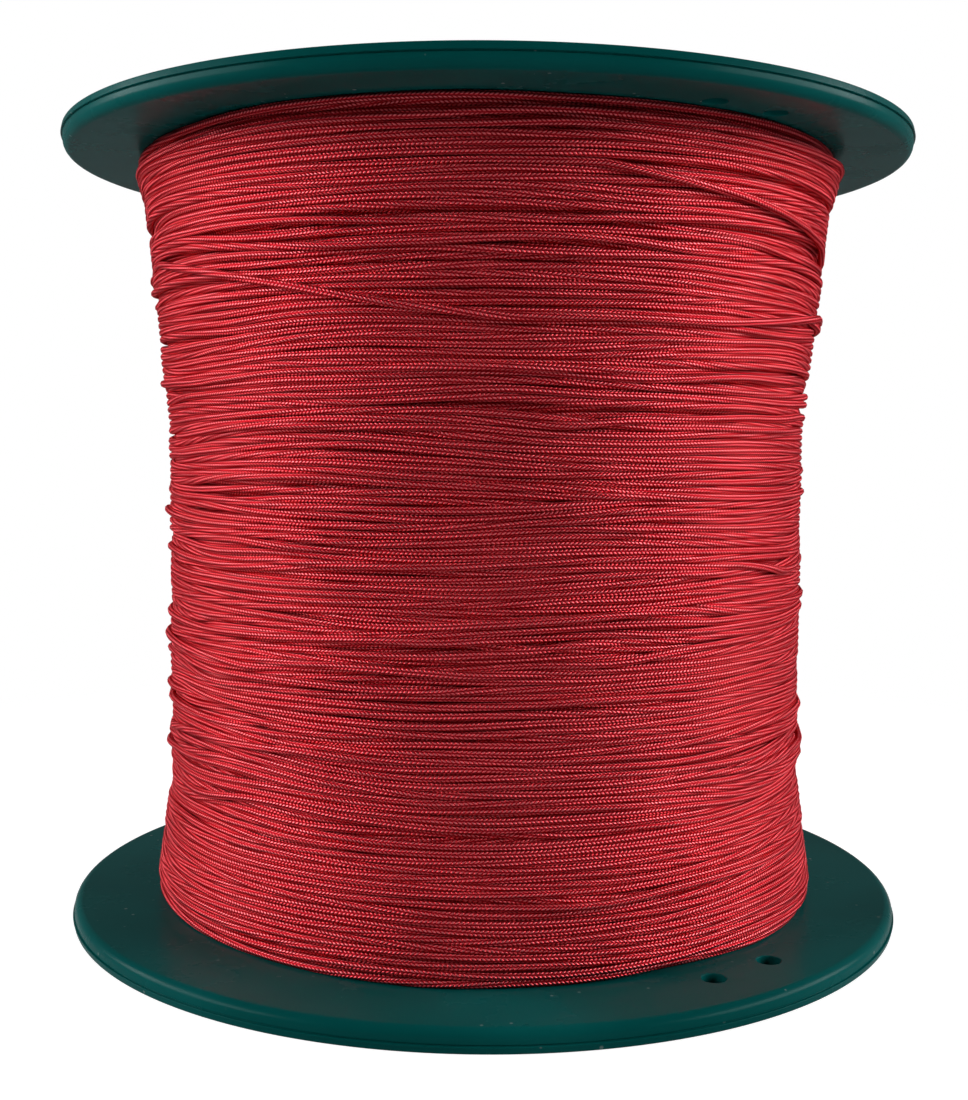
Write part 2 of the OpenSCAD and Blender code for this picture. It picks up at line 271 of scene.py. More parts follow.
class Shader:
    """Writes the nodes of one material, or of the world."""

    def __init__(self, owner, output="ShaderNodeOutputMaterial"):
        owner.use_nodes = True
        self.owner = owner
        self.tree = owner.node_tree
        self.tree.nodes.clear()
        self.output = self.tree.nodes.new(output)

    def add(self, kind, settings=None, inputs=None, out=0):
        """Adds a node with these settings and these values or links, and gives one of its outputs."""
        node = self.tree.nodes.new(kind)
        for key, value in (settings or {}).items():
            setattr(node, key, value)
        for key, value in (inputs or {}).items():
            self.feed(node.inputs[key], value)
        return Socket(self, node.outputs[out])

    def feed(self, target, value):
        if isinstance(value, Socket):
            self.tree.links.new(value.link, target)
        elif target.type == "RGBA" and len(value) == 3:
            target.default_value = (*value, 1.0)
        else:
            target.default_value = value

    def outputs(self, kind, inputs=None):
        """All outputs of a new node, by their names."""
        node = self.add(kind, {}, inputs).link.node
        return {output.name: Socket(self, output) for output in node.outputs}

    def place(self):
        """Object coordinates, in metres."""
        return self.add("ShaderNodeTexCoord", out="Object")

    def stretched(self, vector, scale, turn=(0.0, 0.0, 0.0)):
        inputs = {"Vector": vector, "Rotation": turn, "Scale": scale}
        return self.add("ShaderNodeMapping", {}, inputs)

    def split(self, vector):
        return self.outputs("ShaderNodeSeparateXYZ", {"Vector": vector}).values()

    def noise(self, vector, scale, detail=2.0, roughness=0.5):
        inputs = {"Vector": vector, "Scale": scale, "Detail": detail, "Roughness": roughness}
        return self.add("ShaderNodeTexNoise", {}, inputs, out="Fac")

    def spots(self, vector, scale, out="Distance"):
        return self.add("ShaderNodeTexVoronoi", {}, {"Vector": vector, "Scale": scale}, out)

    def mix(self, factor, first, second):
        """Mix of two colours, which are sockets 6, 7 and 2 of a Mix node."""
        inputs = {0: factor, 6: first, 7: second}
        return self.add("ShaderNodeMix", {"data_type": "RGBA"}, inputs, out=2)

    def bump(self, height, distance):
        return self.add("ShaderNodeBump", {}, {"Height": height, "Distance": distance}, out="Normal")

    def show(self, surface):
        """Ends the nodes in this surface."""
        self.tree.links.new(surface.link, self.output.inputs["Surface"])
        return self.owner

    def finish(self, **inputs):
        """Ends a material in a Principled surface with these inputs, such as Base_Color."""
        named = {key.replace("_", " "): value for key, value in inputs.items()}
        return self.show(self.add("ShaderNodeBsdfPrincipled", {}, named))


def material_shader(name):
    return Shader(bpy.data.materials.new(name))


def toned(shade, factor, lift=0.0):
    """A colour made deeper or paler."""
    return tuple(min(1.0, c * factor + lift) for c in shade)


def speck_mask(shader, place, scale, size, share):
    """1 on a scatter of small round specks, of which only a share is kept."""
    distance = shader.spots(place, scale)
    pick, _, _ = shader.split(shader.spots(place, scale, out="Color"))
    return distance.ramp(size, size * 0.4) * pick.ramp(1.0 - share, 1.0 - share + 0.02)


def scratch_mask(shader, place, turn, scale, width):
    """1 along sparse hair scratches that run in one direction."""
    line = shader.spots(shader.stretched(place, (1.0, 0.045, 1.0), turn), scale)
    patches = shader.noise(place, 45.0, detail=1.0).ramp(0.52, 0.66)
    return line.ramp(width, 0.0) * patches


def flange_plastic(green):
    """Glossy dark green moulded plastic with dust, hair scratches and soft handling marks."""
    s = material_shader("flange_plastic")
    place = s.place()
    cloud = s.noise(place, 28.0, detail=3.0)
    grain = s.noise(place, 900.0, detail=2.0)
    smudge = s.noise(place, 60.0, detail=4.0, roughness=0.6).ramp(0.48, 0.72)
    dust = speck_mask(s, place, scale=520.0, size=0.16, share=0.10)
    lint = speck_mask(s, place, scale=190.0, size=0.07, share=0.12)
    specks = dust.at_least(lint)
    fine = scratch_mask(s, place, turn=(0.3, 0.5, 0.4), scale=260.0, width=0.035)
    scratches = fine.at_least(scratch_mask(s, place, turn=(1.1, 0.2, -0.8), scale=210.0, width=0.03))
    scratch_tone, dust_tone = (0.06, 0.24, 0.23), (0.35, 0.4, 0.38)
    body = s.mix(cloud.ramp(0.35, 0.65), toned(green, 0.86), toned(green, 1.08, 0.001))
    body = s.mix(scratches * 0.05, body, scratch_tone)
    body = s.mix(specks * 0.4, body, dust_tone)
    return s.finish(
        Base_Color=body,
        Roughness=0.24 + smudge * 0.06 + scratches * 0.08 + specks * 0.4 + grain * 0.03,
        Normal=s.bump(lint * 2.0 - scratches * 0.1, 0.003 * MM),
        IOR=1.4,
        Specular_IOR_Level=0.05,
        Specular_Tint=(0.7, 1.0, 0.98, 1.0),
    )


TURNING_MARKS = 5200.0  # radians in a metre of height, which is a mark every 1.2 mm


def core_plastic(green):
    """Satin plastic of the barrel and the arbor tube, with faint turning marks."""
    s = material_shader("core_plastic")
    place = s.place()
    _, _, z = s.split(place)
    rings = (z * TURNING_MARKS).cosine() * 0.5 + 0.5
    cloud = s.noise(place, 50.0, detail=3.0)
    return s.finish(
        Base_Color=s.mix(cloud.ramp(0.3, 0.7), toned(green, 0.7), toned(green, 1.3, 0.002)),
        Roughness=0.38 + cloud * 0.12,
        Normal=s.bump(rings + s.noise(place, 700.0), 0.01 * MM),
        IOR=1.5,
    )


def label_paper(p):
    """Blank uncoated label: off-white paper with fibres, printed rings and a little foxing."""
    s = material_shader("label_paper")
    place = s.place()
    x, y, _ = s.split(place)
    radius = (x * x + y * y).root()
    fibre = s.noise(s.stretched(place, (1.0, 3.0, 1.0)), 1400.0, detail=4.0, roughness=0.7)
    patch = s.noise(place, 30.0, detail=3.0)
    paper = s.mix(patch.ramp(0.3, 0.75), p.paper, p.aged)
    paper = s.mix(fibre.ramp(0.55, 0.8) * 0.35, paper, p.fibre)

    def ring(middle_r, half_width):
        soft_edge = 0.08 * MM
        return (radius - middle_r).absolute().ramp(half_width + soft_edge, half_width)

    wear = s.noise(place, 500.0) * 0.25 + 0.72
    band = ring(LABEL_R - p.band_inset, p.band_half)
    line = ring(LABEL_R - p.line_inset, p.line_half)
    paper = s.mix(band.at_least(line) * wear, paper, p.band_ink)
    paper = s.mix(ring(p.ring_r, p.ring_half) * wear, paper, p.ring_ink)
    return s.finish(
        Base_Color=paper, Roughness=0.62 + fibre * 0.25, Normal=s.bump(fibre, 0.02 * MM), IOR=1.45
    )


def braided_string(w):
    """Braid of slanted stitches in rows, drawn from the string's own length and roundness, with a painted
    highlight on the stitches' crests and painted shade in the crevices between the stitches.
    """
    s = material_shader("braided_string")
    along = s.add("ShaderNodeAttribute", {"attribute_name": "along"}, out="Fac")
    around = s.add("ShaderNodeAttribute", {"attribute_name": "around"}, out="Vector")
    cx, cy, _ = s.split(around)
    pace = {"W": along, "Scale": w.twist_pace, "Detail": 1.0}
    slow = s.add("ShaderNodeTexNoise", {"noise_dimensions": "1D"}, pace, out="Fac")
    rows = (cy.arctan2(cx) / (2 * math.pi) + slow * w.braid_twist) * w.braid_rows
    across = rows.fract() * 2.0 - 1.0
    parity = rows.floor() % 2.0
    lean = parity * 2.0 - 1.0
    step = along / w.stitch + across * lean * w.stitch_lean + parity * 0.5
    down = step.fract() * 2.0 - 1.0
    yarn = (down * (math.pi / 2)).cosine() * (across * (math.pi / 2)).cosine()
    raised = yarn.ramp(0.1, 0.6)
    place = s.place()
    tone = s.noise(place, 120.0, detail=2.0)
    stitch_id = s.add("ShaderNodeCombineXYZ", {}, {"X": step.floor(), "Y": rows.floor()})
    flat = {"noise_dimensions": "2D"}
    stitch_tone = s.add("ShaderNodeTexWhiteNoise", flat, {"Vector": stitch_id}, out="Value")
    mottle = tone.ramp(0.35, 0.65) * 0.6 + stitch_tone * 0.4
    yarn_colour = s.mix(mottle, toned(w.red, 0.82), toned(w.red, 1.08, 0.01))
    # Painted shade: the deep red fills the crevices between the stitches, outside the raised yarn.
    body = s.mix(raised, w.crevice_shade_red, yarn_colour)
    # Painted highlight: the crest red lightens the crests of the stitches.
    body = s.mix(yarn.ramp(0.45, 0.95) * 0.9, body, w.crest_highlight_red)
    fuzz = s.noise(place, 5200.0, detail=1.0)
    return s.finish(
        Base_Color=body,
        Roughness=0.46 - raised * 0.06 + fuzz * 0.04,
        Normal=s.bump(yarn.ramp(0.0, 1.0) + fuzz * 0.1, 0.12 * MM),
        Metallic=0.82,
        IOR=1.45,
        Specular_IOR_Level=0.1,
        Specular_Tint=(1.0, 0.35, 0.38, 1.0),
    )


# ---------------------------------------------------------------- mesh helpers


def link(obj):
    bpy.context.scene.collection.objects.link(obj)
    return obj


def mesh_object(name, verts, faces, material=None):
    mesh = bpy.data.meshes.new(name)
    mesh.from_pydata([tuple(v) for v in verts], [], faces)
    mesh.update()
    if material:
        mesh.materials.append(material)
    return link(bpy.data.objects.new(name, mesh))


def outward(mesh):
    """Makes every face of a closed mesh point outwards."""
    work = bmesh.new()
    work.from_mesh(mesh)
    bmesh.ops.recalc_face_normals(work, faces=work.faces)
    work.to_mesh(mesh)
    work.free()


def rounded(corners, steps=6):
    """Closed outline through corners (radius, height, round), each corner with its own round."""
    outline = []
    for i, (r, z, radius) in enumerate(corners):
        here = Vector((r, z))
        back = (Vector(corners[i - 1][:2]) - here).normalized()
        ahead = (Vector(corners[(i + 1) % len(corners)][:2]) - here).normalized()
        if radius == 0:
            outline.append(here)
            continue
        half = back.angle(ahead) / 2
        start = here + back * radius / math.tan(half)
        centre = here + (back + ahead).normalized() * radius / math.sin(half)
        first = math.atan2(start.y - centre.y, start.x - centre.x)
        end = here + ahead * radius / math.tan(half)
        turn = math.atan2(end.y - centre.y, end.x - centre.x) - first
        turn = (turn + math.pi) % (2 * math.pi) - math.pi
        for k in range(steps + 1):
            a = first + turn * k / steps
            outline.append(centre + radius * Vector((math.cos(a), math.sin(a))))
    return outline


def lathe(name, outline, segments):
    """Solid of revolution about Z of a closed outline that stays off the axis."""
    verts, faces = [], []
    rows = len(outline)
    for k in range(segments):
        a = 2 * math.pi * k / segments
        verts += [(p.x * math.cos(a), p.x * math.sin(a), p.y) for p in outline]
    for k in range(segments):
        here, after = k * rows, (k + 1) % segments * rows
        for i in range(rows):
            j = (i + 1) % rows
            faces.append((here + i, after + i, after + j, here + j))
    made = mesh_object(name, verts, faces)
    outward(made.data)
    return made


def plug(name, profile, centre, segments=48):
    """Closed round cutter about a vertical line at centre, from (radius, height) points."""
    verts, faces = [], []
    rows = len(profile)
    for k in range(segments):
        a = 2 * math.pi * k / segments
        verts += [(centre[0] + r * math.cos(a), centre[1] + r * math.sin(a), z) for r, z in profile]
    for k in range(segments):
        here, after = k * rows, (k + 1) % segments * rows
        faces += [(here + i, after + i, after + i + 1, here + i + 1) for i in range(rows - 1)]
    faces.append([k * rows for k in range(segments)])
    faces.append([k * rows + rows - 1 for k in range(segments)])
    made = mesh_object(name, verts, faces)
    outward(made.data)
    return made


def block(name, low, high, turn):
    """Box between two corners, turned about Z."""
    xs, ys, zs = zip(low, high)
    verts = [Matrix.Rotation(turn, 3, "Z") @ Vector((x, y, z)) for x in xs for y in ys for z in zs]
    faces = [(0, 1, 3, 2), (4, 6, 7, 5), (0, 4, 5, 1), (2, 3, 7, 6), (0, 2, 6, 4), (1, 5, 7, 3)]
    made = mesh_object(name, verts, faces)
    outward(made.data)
    return made


def combine(target, tools, operation):
    """Adds the tools to the target, or cuts them out of it, and removes them."""
    for tool in tools:
        modifier = target.modifiers.new(operation, "BOOLEAN")
        modifier.operation = operation
        modifier.solver = "EXACT"
        modifier.object = tool
        bake(target)
        bpy.data.objects.remove(tool)


def bake(obj):
    """Turns an object's modifiers into its mesh."""
    graph = bpy.context.evaluated_depsgraph_get()
    mesh = bpy.data.meshes.new_from_object(
        obj.evaluated_get(graph), preserve_all_data_layers=True, depsgraph=graph
    )
    obj.modifiers.clear()
    old = obj.data
    obj.data = mesh
    bpy.data.meshes.remove(old)
    mesh.name = obj.name
    return obj


def smooth_edges(obj, degrees=32.0):
    """Smooth shading with sharp edges kept and flat faces left flat."""
    obj.data.shade_smooth()
    obj.data.set_sharp_from_angle(angle=math.radians(degrees))
    modifier = obj.modifiers.new("normals", "WEIGHTED_NORMAL")
    modifier.keep_sharp = True
    modifier.weight = 80
    return bake(obj)


def paint(node, material):
    """Gives a carried-over CAD node its finish."""
    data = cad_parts[node].data
    data.materials.clear()
    data.materials.append(material)


# ---------------------------------------------------------------- flanges


# Details of the moulding that are too fine to be settings.
ARBOR_ROUND = 0.5 * MM  # on the mouth of the arbor bore
CREASE = 0.1 * MM  # round in the label well and on the lip's inner edge
SHARP = 0.05 * MM  # round on the sharpest edges
SEAM = 0.12 * MM  # depth and height of the seam between the lip and the bead
SEAM_ROUND = 0.03 * MM  # at the bottom of the seam
SEAM_TOP = 0.2 * MM  # from the lip to where the seam has run out into the bead
HOOK_DROP = 1 * MM  # from the spigot's end down to a snap hook
OVERRUN = 1 * MM  # how far a cutter or a rib reaches past the face that it meets


def flange_corners(f):
    """Section of one flange that stands on its outer face, as (radius, height, round)."""
    bead_r = FLANGE_R - f.lip_proud
    well_r = LABEL_R + f.label_clear
    spigot_r = BARREL_R - f.barrel_wall - f.spigot_clear
    spigot_in = spigot_r - f.spigot_wall
    socket_r = TUBE_R + f.tube_clear
    socket_out = socket_r + f.socket_wall
    web_top = LABEL_TOP + f.web_t
    small = f.small_round
    return [
        (f.arbor_r, 0, ARBOR_ROUND),
        (f.hub_face_r, 0, small),
        (f.hub_face_r, LABEL_TOP, CREASE),
        (well_r, LABEL_TOP, CREASE),
        (well_r, 0, small),
        (FLANGE_R - f.lip_draft, 0, f.edge_round),
        (FLANGE_R, f.lip_h, CREASE),
        (bead_r - SEAM, f.lip_h, SHARP),
        (bead_r - SEAM, f.lip_h + SEAM, SEAM_ROUND),
        (bead_r, f.lip_h + SEAM_TOP, SHARP),
        (bead_r, FLANGE_T, f.bead_round),
        (spigot_r, FLANGE_T, SHARP),
        (spigot_r, FLANGE_T + f.spigot_h, small),
        (spigot_in, FLANGE_T + f.spigot_h, small),
        (spigot_in, web_top, small),
        (socket_out, web_top, small),
        (socket_out, SOCKET_TOP, small),
        (socket_r, SOCKET_TOP, small),
        (socket_r, ARBOR_LAND, 0),
        (f.arbor_r, ARBOR_LAND, SHARP),
    ]


def tie_circle(f):
    """Radius at which the tie holes lie, and half the angle between the holes of a pair."""
    tie_r = FLANGE_R - f.tie_inset
    return tie_r, math.asin(f.tie_pitch / 2 / tie_r)


def tie_cutters(f, direction):
    """Cutters for one pair of tie holes and the groove that joins them."""
    tie_r, half = tie_circle(f)
    mouth = f.tie_mouth
    arc = [math.radians(10 + 14 * k) for k in range(6)]
    flare = [(f.tie_hole_r + mouth * (1 - math.cos(a)), mouth * (1 - math.sin(a))) for a in arc]
    below = flare[::-1]
    above = [(r, FLANGE_T - z) for r, z in flare]
    profile = [(below[0][0], -OVERRUN), *below, *above, (above[-1][0], FLANGE_T + OVERRUN)]
    cutters = []
    for side in (-half, half):
        a = direction + side
        cutters.append(plug("tie_hole", profile, (tie_r * math.cos(a), tie_r * math.sin(a))))
    reach = tie_r * math.cos(half)
    low = (reach - f.groove_w / 2, -f.tie_pitch / 2, -OVERRUN)
    high = (reach + f.groove_w / 2, f.tie_pitch / 2, f.groove_depth)
    cutters.append(block("tie_groove", low, high, direction))
    return cutters


def inner_blocks(f):
    """Ribs between the socket and the spigot, and the snap hooks on the spigot."""
    socket_out = TUBE_R + f.tube_clear + f.socket_wall
    spigot_r = BARREL_R - f.barrel_wall - f.spigot_clear
    spigot_in = spigot_r - f.spigot_wall
    blocks = []
    for k in range(f.ribs):
        low = (socket_out - OVERRUN, -f.rib_t / 2, LABEL_TOP + f.web_t - OVERRUN)
        high = (spigot_in + OVERRUN, f.rib_t / 2, FLANGE_T + f.rib_h)
        blocks.append(block("rib", low, high, 2 * math.pi * k / f.ribs))
    hook_r = math.sqrt((spigot_r + f.hook_reach) ** 2 - (f.hook_w / 2) ** 2)
    hook_top = FLANGE_T + f.spigot_h - HOOK_DROP
    for k in range(f.hooks):
        low = (spigot_in + f.spigot_wall / 2, -f.hook_w / 2, hook_top - f.hook_h)
        high = (hook_r, f.hook_w / 2, hook_top)
        blocks.append(block("snap_hook", low, high, 2 * math.pi * (k + 0.5) / f.hooks))
    return blocks


def make_flange(name, f, direction, upside_down, material):
    """One flange moulding, standing on its outer face or turned over on top of the winding."""
    made = lathe(name, rounded(flange_corners(f)), f.segments)
    if upside_down:
        direction = -direction
    combine(made, inner_blocks(f), "UNION")
    for turn in (0, math.pi):
        combine(made, tie_cutters(f, direction + turn), "DIFFERENCE")
    if upside_down:
        made.data.transform(Matrix.Translation((0, 0, REEL_H)) @ Matrix.Rotation(math.pi, 4, "X"))
    smooth_edges(made)
    made.data.materials.clear()
    made.data.materials.append(material)
    return made


class REEL_OT_flanges(bpy.types.Operator):
    """Make the two flange mouldings"""

    bl_idname = "reel.flanges"
    bl_label = "Flanges"

    def execute(self, context):
        f = context.scene.reel_flange
        material = flange_plastic(f.green)
        lower = make_flange("lower_flange_moulding", f, f.tie_lower, False, material)
        upper = make_flange("upper_flange_moulding", f, f.tie_upper, True, material)
        for piece, node in ((lower, "lower_flange"), (upper, "upper_flange")):
            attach(piece, BODY)
            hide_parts(node)
        return {"FINISHED"}


class REEL_OT_core(bpy.types.Operator):
    """Finish the barrel and the arbor tube"""

    bl_idname = "reel.core"
    bl_label = "Barrel and arbor tube"

    def execute(self, context):
        material = core_plastic(context.scene.reel_flange.green)
        for node in ("barrel", "arbor_tube"):
            paint(node, material)
        return {"FINISHED"}


class REEL_OT_labels(bpy.types.Operator):
    """Finish the blank paper labels"""

    bl_idname = "reel.labels"
    bl_label = "Labels"

    def execute(self, context):
        material = label_paper(context.scene.reel_label)
        for node in ("upper_label", "lower_label"):
            paint(node, material)
        return {"FINISHED"}


# ---------------------------------------------------------------- winding


# Pitch of the layers, in string diameters.
LAYER_PITCH = 0.9
# How far the layers that aren't laid one by one rise into the lowest laid one, as a share of a layer.
CORE_RISE = 0.4
# How far the body of the inner layers lies below the drawn ones, as a share of a layer.
CORE_SINK = 0.2
# Gap between the barrel and that body.
BARREL_GAP = 0.2 * MM
# Points over which a single turn strays up or down, and in or out.
WANDER_REACH = 3
LIFT_REACH = 8
# A stray's way round the reel, in shares of a turn: its climb on its neighbours or off them, where it rides
# on them on its way back, and where it shifts back to its place.
CLIMB = 0.03
RETURN_START, RETURN_END = 0.44, 0.65
SHIFT_START, SHIFT_LENGTH = 0.45, 0.17
# Least and largest drop of a chance stray, in string diameters, and the drops of room kept below it.
STRAY_DROP = (1.0, 2.0)
STRAY_ROOM = 3
# One round of tightening: the share of the way that a point is pulled, the rounds between two sortings, the
# times that turns are pushed apart, and the neighbours that each is tested against.
PULL = 0.5
SORT_EVERY = 4
PUSHES = 2
NEIGHBOURS = 13
# Shares of a push that go to the outer and the inner one of two turns.
OUTER_PUSH, INNER_PUSH = 0.8, 0.2
# Keeps a division by the gap between two turns possible.
TINY = 1e-9
# Bands of height in which the outer layer is fitted, and the share of each that ends inside the profile.
BANDS = 24
COVERED = 0.7
# Points in a turn of the stopper knot, and in string diameters how far its turns start from the string's
# bend, and their pitch.
KNOT_STEPS = 8
KNOT_GAP = 0.3
KNOT_PITCH = 0.9


def bend_heights(w):
    """Heights at which the winding's outline bends."""
    low, high = FLANGE_T, REEL_H - FLANGE_T
    return [low, low + w.taper_lower, high - w.taper_upper, high - w.flare_h, high]


def wound_radius(z, w):
    """Radius over the finished winding at a height."""
    margins = [w.margin_lower, w.margin_middle, w.margin_middle, w.margin_flare, w.margin_upper]
    return FLANGE_R - np.interp(z, bend_heights(w), margins)


def bell(reach):
    """Weights of a soft average that reaches over about this many samples."""
    weights = np.exp(-0.5 * (np.arange(-3 * reach, 3 * reach + 1) / reach) ** 2)
    return weights / weights.sum()


def soften(values, reach):
    """Values averaged softly, with their ends held."""
    return np.convolve(np.pad(values, 3 * reach, "edge"), bell(reach), "valid")


def line_noise(rng, size, reach):
    """Noise of unit spread along the string."""
    soft = np.convolve(rng.standard_normal(size + 6 * reach), bell(reach), "valid")
    return soft / soft.std()


def sheet_noise(rng, around, up, reach_around, reach_up):
    """Noise of unit spread over the winding, without a seam round it."""
    waves = np.fft.rfft(rng.standard_normal((up, around)), axis=1)
    turns = np.arange(waves.shape[1])
    waves *= np.exp(-0.5 * (turns * 2 * math.pi * reach_around / around) ** 2)
    sheet = np.fft.irfft(waves, around, axis=1)
    sheet = np.stack([soften(column, reach_up) for column in sheet.T], axis=1)
    return sheet / sheet.std()


def ease(share):
    """0 to 1 with soft ends."""
    share = np.clip(share, 0.0, 1.0)
    return share * share * (3 - 2 * share)


class Winding:
    """One string laid in layers, as the radius and height of points that are evenly spaced round the reel."""

    def __init__(self, w, last_angle):
        self.w = w
        self.string_r = w.diameter / 2
        self.step = 2 * math.pi / w.samples
        self.layer_size = w.turns * w.samples
        self.size = w.layers * self.layer_size
        self.low = FLANGE_T + self.string_r
        self.high = REEL_H - FLANGE_T - self.string_r
        self.angle = last_angle + self.step * (np.arange(self.size) - (self.size - 1))
        self.rng = np.random.default_rng(w.seed)
        self.lay()
        self.settle()
        self.fit_profile()

    def layer(self, depth):
        """Points of one layer, counted from the outside, and the first point of the layer over it."""
        start = self.size - (depth + 1) * self.layer_size
        return slice(start, min(start + self.layer_size + 1, self.size))

    def lay(self):
        """Where the guide lays the string: side by side, but unevenly, and with a few strays."""
        w = self.w
        heights, radii = [], []
        for layer in range(w.layers):
            share = (np.arange(self.layer_size) + 0.5) / self.layer_size
            if (w.layers - layer) % 2 == 0:
                share = 1 - share
            height = self.low + (self.high - self.low) * share
            calm = ease(share / w.calm) * ease((1 - share) / w.calm)
            bunched = w.end_bunching + (1 - w.end_bunching) * calm
            height += w.bunching * bunched * self.bunch(share)
            height += w.wander * line_noise(self.rng, self.layer_size, WANDER_REACH)
            over = w.layers - 1 - layer
            radius = wound_radius(height, w) - self.string_r - over * LAYER_PITCH * w.diameter
            radius += w.lift * line_noise(self.rng, self.layer_size, LIFT_REACH)
            if over == 0:
                for stray in self.strays():
                    self.let_stray(height, radius, *stray)
            heights.append(height)
            radii.append(radius)
        self.laid = np.clip(np.concatenate(heights), self.low, self.high)
        self.radius = np.concatenate(radii)

    def bunch(self, share):
        """Shift that neighbouring turns share, so that they lie in bunches with slits between."""
        rows = 240
        sheet = sheet_noise(self.rng, self.w.samples, rows, reach_around=5, reach_up=6)
        row = share * (rows - 1.001)
        below = row.astype(int)
        column = np.arange(len(share)) % self.w.samples
        part = row - below
        return sheet[below, column] * (1 - part) + sheet[below + 1, column] * part

    def strays(self):
        """The chosen strays and some chance ones: height, direction and drop of each."""
        w, rng = self.w, self.rng
        yield w.stray_a_height, w.stray_a_angle, w.stray_a_drop
        yield w.stray_b_height, w.stray_b_angle, w.stray_b_drop
        for _ in range(w.strays):
            drop = w.diameter * rng.uniform(*STRAY_DROP)
            place = rng.uniform(self.low + STRAY_ROOM * drop, self.high)
            yield place, rng.uniform(-math.pi, math.pi), drop

    def let_stray(self, height, radius, place, direction, drop):
        """Lets the turn at a place cross over the turns below it, and come back on the far side."""
        n = self.w.samples
        angle = self.angle[-self.layer_size :]
        column = int(round((direction - angle[0]) / self.step)) % n
        turn = np.abs(height[column::n] - place).argmin()
        start = column + turn * n
        run = np.arange(start, min(start + n, len(height)))
        swept = (run - start) / n
        reach = drop / self.w.stray_slope / (2 * math.pi * wound_radius(place, self.w))
        out = np.clip(swept / reach, 0, 1)
        back = ease((swept - SHIFT_START) / SHIFT_LENGTH)
        height[run] -= drop * (out - back)
        crossing = ease(swept / CLIMB) * ease((reach + CLIMB - swept) / CLIMB)
        crossing += ease((swept - RETURN_START) / CLIMB) * ease((RETURN_END - swept) / CLIMB)
        radius[run] += self.w.diameter * crossing

    def settle(self):
        """Tightens the string, and pushes turns that touch apart, until they rest on each other."""
        n = self.w.samples
        touch = self.w.diameter * self.w.squeeze
        sag = self.step**2 / 2
        radius, height = self.radius, self.laid.copy()
        for pull in range(self.w.pulls):
            radius[1:-1] += PULL * ((radius[:-2] + radius[2:]) / 2 - radius[1:-1] * (1 + sag))
            slide = height - self.laid
            slide[1:-1] += PULL * ((slide[:-2] + slide[2:]) / 2 - slide[1:-1])
            height = self.laid + slide
            if pull % SORT_EVERY == 0:
                order = np.argsort(height.reshape(-1, n), axis=0, kind="stable")
            z = np.take_along_axis(height.reshape(-1, n), order, 0)
            r = np.take_along_axis(radius.reshape(-1, n), order, 0)
            for _ in range(PUSHES):
                self.part(z, r, touch)
                np.maximum(r, self.core(z), out=r)
                np.clip(z, self.low, self.high, out=z)
            np.put_along_axis(height.reshape(-1, n), order, z, 0)
            np.put_along_axis(radius.reshape(-1, n), order, r, 0)
        self.radius, self.height = radius, height

    def part(self, z, r, touch):
        """Pushes apart the turns of each cross-section that are closer than touch, the outer one most."""
        for k in range(1, NEIGHBOURS + 1):
            dz, dr = z[k:] - z[:-k], r[k:] - r[:-k]
            if dz.min() >= touch:
                return
            gap = np.sqrt(dz * dz + dr * dr) + TINY
            push = np.maximum(touch - gap, 0) / gap
            upper = np.where(dr > 0, OUTER_PUSH, INNER_PUSH)
            z[k:] += 0.5 * push * dz
            z[:-k] -= 0.5 * push * dz
            r[k:] += upper * push * dr
            r[:-k] -= (1 - upper) * push * dr

    def core(self, z):
        """Least radius of a point: the layers that aren't laid one by one lie below it."""
        depth = (self.w.layers - CORE_RISE) * LAYER_PITCH * self.w.diameter
        return wound_radius(z, self.w) - self.string_r - depth

    def fit_profile(self):
        """Brings most of the outer layer inside the winding's profile, by one shift at each height."""
        outer = self.layer(0)
        order = np.argsort(self.height[outer])
        height = self.height[outer][order]
        error = (self.radius[outer] + self.string_r - wound_radius(self.height[outer], self.w))[order]
        edges = np.linspace(0, len(error), BANDS + 1).astype(int)
        bands = [slice(a, b) for a, b in zip(edges, edges[1:])]
        middle = [height[band].mean() for band in bands]
        excess = np.array([np.quantile(error[band], COVERED) for band in bands])
        self.radius = self.radius - np.interp(self.height, middle, soften(excess, reach=1))

    def points(self, depth):
        """Points of one layer, counted from the outside."""
        chosen = self.layer(depth)
        places = zip(self.angle[chosen], self.radius[chosen], self.height[chosen])
        return [Vector((r * math.cos(a), r * math.sin(a), z)) for a, r, z in places]


def tied_end(f, w):
    """Route of the tied end: through one tie hole, along the groove and back through the other."""
    tie_r, half_angle = tie_circle(f)
    back = f.tie_upper + math.pi
    outwards = Vector((math.cos(back), math.sin(back), 0))
    sideways = Vector((-math.sin(back), math.cos(back), 0))
    middle = outwards * tie_r * math.cos(half_angle)
    half = f.tie_pitch / 2
    end_z = REEL_H - FLANGE_T - w.diameter
    top_z = REEL_H - f.groove_depth / 2
    stops = [
        (-half - 13 * MM, -5.3 * MM, end_z - 0.3 * MM),
        (-half - 6.5 * MM, -2.6 * MM, end_z - 0.8 * MM),
        (-half - 2.4 * MM, -0.9 * MM, end_z - 1.1 * MM),
        (-half - 1.2 * MM, -0.4 * MM, end_z - 0.7 * MM),
        (-half - 0.4 * MM, -0.1 * MM, end_z + 0.3 * MM),
        (-half - 0.1 * MM, 0, end_z + 1.4 * MM),
        (-half, 0, top_z - 1.5 * MM),
        (-half + 0.35 * MM, 0, top_z - 0.7 * MM),
        (-half + 1.4 * MM, 0, top_z),
        (0, 0, top_z),
        (half - 1.4 * MM, 0, top_z),
        (half - 0.35 * MM, 0, top_z - 0.7 * MM),
        (half, 0, top_z - 1.5 * MM),
        (half, 0, end_z),
        (half + 0.2 * MM, 0.1 * MM, end_z - 3 * MM),
        (half + 0.3 * MM, 0.5 * MM, end_z - 5.8 * MM),
    ]
    return [middle + sideways * a + outwards * o + Vector((0, 0, z)) for a, o, z in stops]


